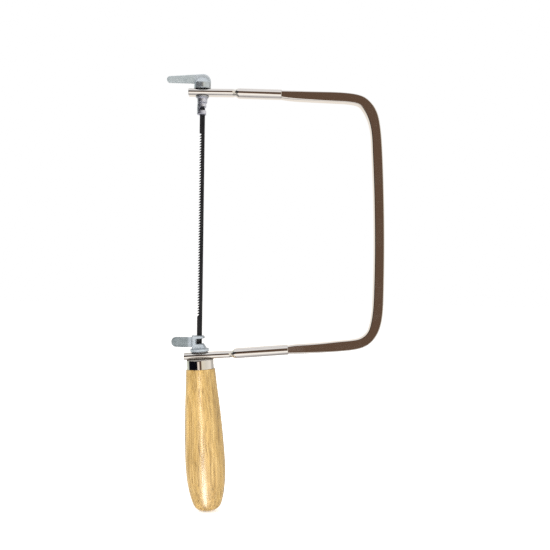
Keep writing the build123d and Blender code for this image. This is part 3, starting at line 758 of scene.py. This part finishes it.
def black_oxide(name):
    """Blackened blade steel, drawn along Z."""
    black, grey, worn = (0.012, 0.012, 0.014), (0.035, 0.034, 0.036), (0.16, 0.155, 0.15)
    k = Mat(name)
    lines = k.noise(k.mapping((1800, 1800, 60)), scale=1.0, detail=4, rough=0.6)
    haze = k.noise(k.co, scale=400, detail=4, rough=0.6)
    color = k.mix(k.remap(lines, span=(0.4, 0.75)), black, grey)
    # the filed tooth edge is worn a little brighter
    edge = k.remap(k.xyz(k.co)[0], span=(-0.0016, -0.0012), to=(1.0, 0.0))
    wear = k.math("MULTIPLY", edge, k.remap(haze, span=(0.45, 0.7), to=(0.0, 0.6)))
    color = k.mix(wear, color, worn)
    roughness = k.remap(haze, span=(0.3, 0.7), to=(0.30, 0.52))
    normal = k.bump(lines, strength=0.12, distance=0.00003)
    return k.set(color=color, metal=0.55, rough=roughness, normal=normal)


WOOD_FIGURE = [(0.30, srgb(166, 133, 72)), (0.47, srgb(188, 153, 86)),
               (0.58, srgb(206, 171, 106)), (0.72, srgb(182, 145, 80))]
WOOD_STREAK, WOOD_PALE, WOOD_PORE = srgb(138, 106, 50), srgb(212, 184, 124), srgb(96, 68, 26)


def wood(name):
    """Lacquered open-pored hardwood: streaks, vessels and soft figure along the grain."""
    k = Mat(name)
    leaning = k.mapping(turn=(0, LEAN, 0))
    # slow drift across the grain, so that the streaks wander
    drift = k.node("ShaderNodeTexNoise", {"Scale": 18, "Detail": 1.5, "Vector": leaning})
    drift = k.vector("SUBTRACT", drift.outputs["Color"], (0.5, 0.5, 0.5))[0]
    drift = k.vector("MULTIPLY", drift, (0.0045, 0.0045, 0.0))[0]
    grain = k.vector("ADD", leaning, drift)[0]

    def stretched(across, along, detail=2, rough=0.5, warp=0.0):
        """Noise with separate scales across and along the grain."""
        return k.noise(k.mapping((across, across, along), source=grain), scale=1.0,
                       detail=detail, rough=rough, warp=warp)

    broad = stretched(across=190, along=8, detail=3, warp=0.3)
    streak = stretched(across=820, along=17, detail=4, rough=0.6, warp=0.15)
    fine = stretched(across=1500, along=26)
    small_pores = stretched(across=1150, along=62)
    large_pores = stretched(across=800, along=48)
    patches = k.remap(stretched(across=170, along=26), span=(0.42, 0.62), to=(0.12, 1.0))
    small_pores = k.math("MULTIPLY", k.remap(small_pores, span=(0.58, 0.67)), patches)
    large_pores = k.math("MULTIPLY", k.remap(large_pores, span=(0.62, 0.70)), patches)
    pores = k.math("MAXIMUM", small_pores, k.scaled(large_pores, by=0.8))
    figure = k.ramp(broad, WOOD_FIGURE)
    color = k.mix(k.remap(streak, span=(0.38, 0.66), to=(0.0, 0.8)), figure, WOOD_STREAK)
    color = k.mix(k.remap(fine, span=(0.45, 0.75), to=(0.0, 0.45)), color, WOOD_PALE)
    color = k.mix(k.scaled(pores, by=0.78), color, WOOD_PORE)
    roughness = k.remap(streak, span=(0.3, 0.7), to=(0.34, 0.48))
    relief = k.math("SUBTRACT", k.scaled(fine, by=0.25), k.scaled(pores, by=0.9))
    normal = k.bump(relief, strength=0.06, distance=0.00006)
    coat_normal = k.bump(relief, strength=0.02, distance=0.00005)
    return k.set(color=color, rough=roughness, normal=normal, coat=0.6, coat_rough=0.24,
                 coat_normal=coat_normal, spec=0.4)


BOW_NICKEL = nickel("nickel_bow")
TUBE_NICKEL = nickel("nickel_tube", rough=0.06)
FERRULE_NICKEL = nickel("nickel_ferrule", line_scale=(500, 500, 900), rough=0.05, dull_top=True)
NUT_ZINC = zinc(
    "zinc_nut", light=(0.53, 0.585, 0.605), dark=(0.37, 0.42, 0.44), rough=0.46, metal=0.55,
    mottle=1.0, spots=0.4, edge=0.45, hub_x=(-0.0065, -0.0045), hub_tone=(0.53, 0.57, 0.63),
    hub_amount=0.45, hub_rough=0.5, hub_top=0.0992)
# hub_top lies below the whole casting, so its hub changes in tone alone
HOLDER_ZINC = zinc(
    "zinc_holder", light=(0.31, 0.355, 0.375), dark=(0.18, 0.215, 0.23), rough=0.50, metal=0.5,
    mottle=1.1, spots=0.5, edge=0.85, hub_x=(-0.0085, -0.0065), hub_tone=(0.58, 0.64, 0.70),
    hub_amount=0.8, hub_rough=1.0, hub_top=-0.2)
ROD_STEEL = turned_steel("steel_rod", tone=(0.86, 0.88, 1.0), rough=0.44)
WASHER_STEEL = turned_steel("steel_washer", tone=(0.66, 0.67, 0.70), rough=0.40)
BLADE_BLACK = black_oxide("blade_black")
HANDLE_WOOD = wood("handle_wood")


# -------------------------------------------------------------------- pieces
def assign(ob, material):
    ob.data.materials.clear()
    ob.data.materials.append(material)


def dress(ob, material, carrier, cad_node):
    """Give a piece its material, the body it rides on and the CAD node it replaces."""
    assign(ob, material)
    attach(ob, carrier)
    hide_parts(cad_node)


dress(build_bow(), BOW_NICKEL, "frame", "bow")

# Each tube stops short of its mouth, leaving room for the lip.
upper_tube = build_tube("upper_tube", arm_stations(
    UP_SEAT, np.array([1.0, 0.0]), end_offset=-9.22, neck_offset=23.1, sleeve=UP_SLEEVE,
    mouth=UP_MOUTH - np.array([LIP_BULGE, 0.0]), sleeve_height=UP_SLEEVE_HEIGHT))
lower_tube = build_tube("lower_tube", arm_stations(
    LO_SEAT, LO_SEAT_DIR, end_offset=-10.62, neck_offset=22.4, sleeve=LO_SLEEVE,
    mouth=LO_MOUTH - np.array([LIP_BULGE, 0.02]), sleeve_height=LO_SLEEVE_HEIGHT))
cross_bore(upper_tube, (UP_SEAT[0], 0, UP_SEAT[1]), (0, 0, 1))
cross_bore(lower_tube, LO_HOLE, AXIS_Z)
dress(upper_tube, TUBE_NICKEL, "frame", "upper_arm_tube")
dress(lower_tube, TUBE_NICKEL, "frame", "lower_arm_tube")

nut = cast_from("tension_lever_nut", "wing_nut", inset=0.03)
dress(nut, NUT_ZINC, "tension_nut", "tension_lever_nut")

hook = cast_from("lower_blade_holder", "lower_hook_casting", inset=0.06)
clear_shank(hook)
dress(hook, HOLDER_ZINC, "lower_hook", "lower_blade_holder")

dress(build_ferrule(), FERRULE_NICKEL, "handle", "ferrule")

grip = build_grip()
dress(grip, HANDLE_WOOD, "handle", "handle_grip")

# CAD nodes that keep their own mesh
for node, material in (
        ("upper_blade_holder", ROD_STEEL), ("upper_keyed_washer", WASHER_STEEL),
        ("lower_keyed_washer", WASHER_STEEL), ("blade", BLADE_BLACK),
        ("upper_blade_pin", BLADE_BLACK), ("lower_blade_pin", BLADE_BLACK),
        ("handle_insert", WASHER_STEEL)):
    assign(NODES[node], material)

# -------------------------------------------------------------------- world
# The studio as the polished metal sees it. Azimuth is in degrees: 0 towards -Y,
# behind the camera, growing towards +X.
BROWN = (0.140, 0.086, 0.058)
BLACK = (0.004, 0.004, 0.008)
GREENISH = (0.70, 0.75, 0.66)
STRIP = (0.92, 0.82, 0.75)
BACK_WALL = (0.95, 0.88, 0.80)
# Walls, (azimuth, colour): the -X side, two versions of the front, the +X side
WALL_LEFT = [(-180, BACK_WALL), (-161, BACK_WALL), (-152, GREENISH), (-112, GREENISH),
             (-104, (0.10, 0.11, 0.13)), (-99, BLACK)]
FRONT_HIGH = [(-9, BLACK), (-5, (0.09, 0.052, 0.033)), (-1, BROWN)]
FRONT_LOW = [(-20.0, BLACK), (-18.0, STRIP), (-2.0, STRIP), (0.0, BROWN)]
WALL_RIGHT = [(14.5, BROWN), (16.5, (0.90, 0.84, 0.70)), (60, (0.86, 0.83, 0.76)),
              (100, (1.02, 0.98, 0.92)), (122, (0.56, 0.54, 0.51)), (140, (0.62, 0.60, 0.56)),
              (156, (0.36, 0.34, 0.32)), (166, BACK_WALL), (180, BACK_WALL)]
# Brightness of the floor by azimuth: darker, uneven greys away from the front
FLOOR_GREYS = [(-180, 0.80), (-162, 0.80), (-146, 0.50), (-120, 0.30), (-95, 0.17),
               (-68, 0.36), (-48, 0.26), (-27, 1.0), (27, 1.0), (50, 0.60), (85, 0.40),
               (110, 0.24), (138, 0.46), (155, 0.26), (166, 0.80), (180, 0.80)]
# Floor from straight down to the horizon, ceiling from its edge to straight up
FLOOR_STOPS = [(0.0, (0.62, 0.60, 0.62)), (0.30, (0.72, 0.70, 0.71)), (0.42, (1.05, 1.03, 1.0)),
               (0.80, (1.35, 1.32, 1.27)), (1.0, (1.35, 1.32, 1.27))]
CEILING_STOPS = [(0.0, (0.30, 0.26, 0.23)), (0.12, (0.86, 0.86, 0.87)),
                 (0.5, (0.98, 0.98, 1.0)), (1.0, (0.80, 0.80, 0.84))]
DEGREES = 180 / math.pi


def build_world():
    """Metal sees the studio, the camera sees white, other rays an even soft light."""
    world = bpy.data.worlds.new("studio")
    scene.world = world
    world.use_nodes = True
    w = Nodes(world.node_tree)
    out = w.node("ShaderNodeOutputWorld")
    x, y, z = w.xyz(w.node("ShaderNodeTexCoord").outputs["Generated"])
    azimuth = w.scaled(w.math("ARCTAN2", x, w.scaled(y, by=-1.0)), by=DEGREES)
    elevation = w.scaled(w.math("ARCSINE", z), by=DEGREES)
    around = w.remap(azimuth, span=(-180, 180))

    def azimuth_ramp(stops):
        return w.ramp(around, [((degrees + 180) / 360, color) for degrees, color in stops])

    high = azimuth_ramp(WALL_LEFT + FRONT_HIGH + WALL_RIGHT)
    low = azimuth_ramp(WALL_LEFT + FRONT_LOW + WALL_RIGHT)
    walls = w.mix(w.remap(elevation, span=(-5.0, -2.5)), low, high)
    ground = w.ramp(w.remap(elevation, span=(-90, 0)), FLOOR_STOPS)
    ceiling = w.ramp(w.remap(elevation, span=(36, 90)), CEILING_STOPS)
    greys = azimuth_ramp([(degrees, (grey,) * 3) for degrees, grey in FLOOR_GREYS])
    ground = w.mix(1.0, ground, greys, blend="MULTIPLY")
    studio = w.mix(w.remap(elevation, span=(-19, -12)), ground, walls)
    studio = w.mix(w.remap(elevation, span=(37, 44)), studio, ceiling)

    def background(color, strength):
        return w.node("ShaderNodeBackground", {0: color, 1: strength}).outputs[0]

    rays = w.node("ShaderNodeLightPath").outputs
    seen = background(color=(1, 1, 1), strength=1.0)
    soft = background(color=(1.0, 0.985, 0.96), strength=0.72)
    reflected = background(color=studio, strength=1.0)
    lit = w.node("ShaderNodeMixShader", {0: rays["Is Glossy Ray"], 1: soft, 2: reflected})
    both = w.node("ShaderNodeMixShader", {0: rays["Is Camera Ray"], 1: lit.outputs[0], 2: seen})
    w.feed(out.inputs[0], both.outputs[0])


build_world()


# ------------------------------------------------------------------- lights
def area(name, location, target, size, power, color=(1, 1, 1), glossy=False):
    light = bpy.data.lights.new(name, "AREA")
    light.shape = "RECTANGLE"
    light.size, light.size_y = size
    light.energy = power
    light.color = color
    ob = bpy.data.objects.new(name, light)
    ob.location = location
    ob.rotation_mode = "QUATERNION"
    ob.rotation_quaternion = (Vector(target) - Vector(location)).to_track_quat("-Z", "Y")
    ob.visible_glossy = glossy
    ob.visible_camera = False
    scene.collection.objects.link(ob)
    return ob


area("key_left", location=(-0.55, -0.75, 0.55), target=(0.02, 0, -0.05), size=(0.6, 0.6),
     power=9.0, color=(1.0, 0.98, 0.95))
area("fill_right", location=(0.8, -0.6, 0.25), target=(0.02, 0, -0.05), size=(0.6, 0.8),
     power=4.0)
area("rim_back", location=(-0.3, 0.9, 0.6), target=(0.05, 0, 0.0), size=(0.8, 0.6), power=5.0)

# A narrow and a wider strip light, for the lacquered handle's gloss alone, draw
# its long highlight; the floor does not stand in their way.
handle_only = bpy.data.collections.new("handle_only")
handle_only.objects.link(grip)
for name, location, size, power in (          # size in metres, power in watts
        ("strip_upper", (-0.10, -0.85, -0.24), (0.095, 0.36), 1.5),
        ("strip_lower", (-0.10, -0.85, -0.78), (0.34, 0.68), 15.0)):
    strip = area(name, location, target=(0.0, 0.0, -0.165), size=size, power=power,
                 color=(1.0, 0.985, 0.95), glossy=True)
    strip.visible_diffuse = False
    strip.light_linking.receiver_collection = handle_only
    strip.light_linking.blocker_collection = handle_only


# -------------------------------------------------------------------- floor
def floor_pale():
    """Pale and slightly glowing, so that it runs into the white backdrop."""
    k = Mat("floor_pale")
    cloud = k.noise(k.co, scale=3.0, detail=3, rough=0.5)
    k.set(color=k.mix(cloud, (0.90, 0.90, 0.90), (0.94, 0.94, 0.94)), rough=0.9, spec=0.1)
    glow = k.node("ShaderNodeEmission", {0: (1, 1, 1), 1: 0.42})
    both = k.node("ShaderNodeAddShader", {0: k.bsdf.outputs[0], 1: glow.outputs[0]})
    k.feed(k.out.inputs[0], both.outputs[0])
    return k.material


FLOOR_GAP = 0.0002            # the floor's distance below the saw
bpy.ops.mesh.primitive_circle_add(vertices=96, radius=4.0, fill_type="NGON",
                                  location=(0.05, 0, CAD_BOX[0].z - FLOOR_GAP))
floor = bpy.context.active_object
floor.name = "floor"
assign(floor, floor_pale())
floor.visible_glossy = False  # reflections come from the world's studio instead

# ------------------------------------------------------------------- camera
CAMERA_ROLL = math.radians(0.776)
CAMERA_PLACE = (0.05269, -0.5365, -0.03442)
camera_data = bpy.data.cameras.new("camera")
camera_data.lens = 50.0
camera_data.sensor_width = 36.0
camera_data.clip_start = 0.02
camera_data.clip_end = 20
camera = bpy.data.objects.new("camera", camera_data)
right = Vector((math.cos(CAMERA_ROLL), 0, math.sin(CAMERA_ROLL)))
up = Vector((-math.sin(CAMERA_ROLL), 0, math.cos(CAMERA_ROLL)))
back = Vector((0, -1, 0))
pose = Matrix((right, up, back)).transposed().to_4x4()
pose.translation = Vector(CAMERA_PLACE)
camera.matrix_world = pose
scene.collection.objects.link(camera)
scene.camera = camera

scene.view_settings.view_transform = "Standard"
scene.view_settings.look = "None"
scene.render.film_transparent = False
scene.cycles.use_denoising = False
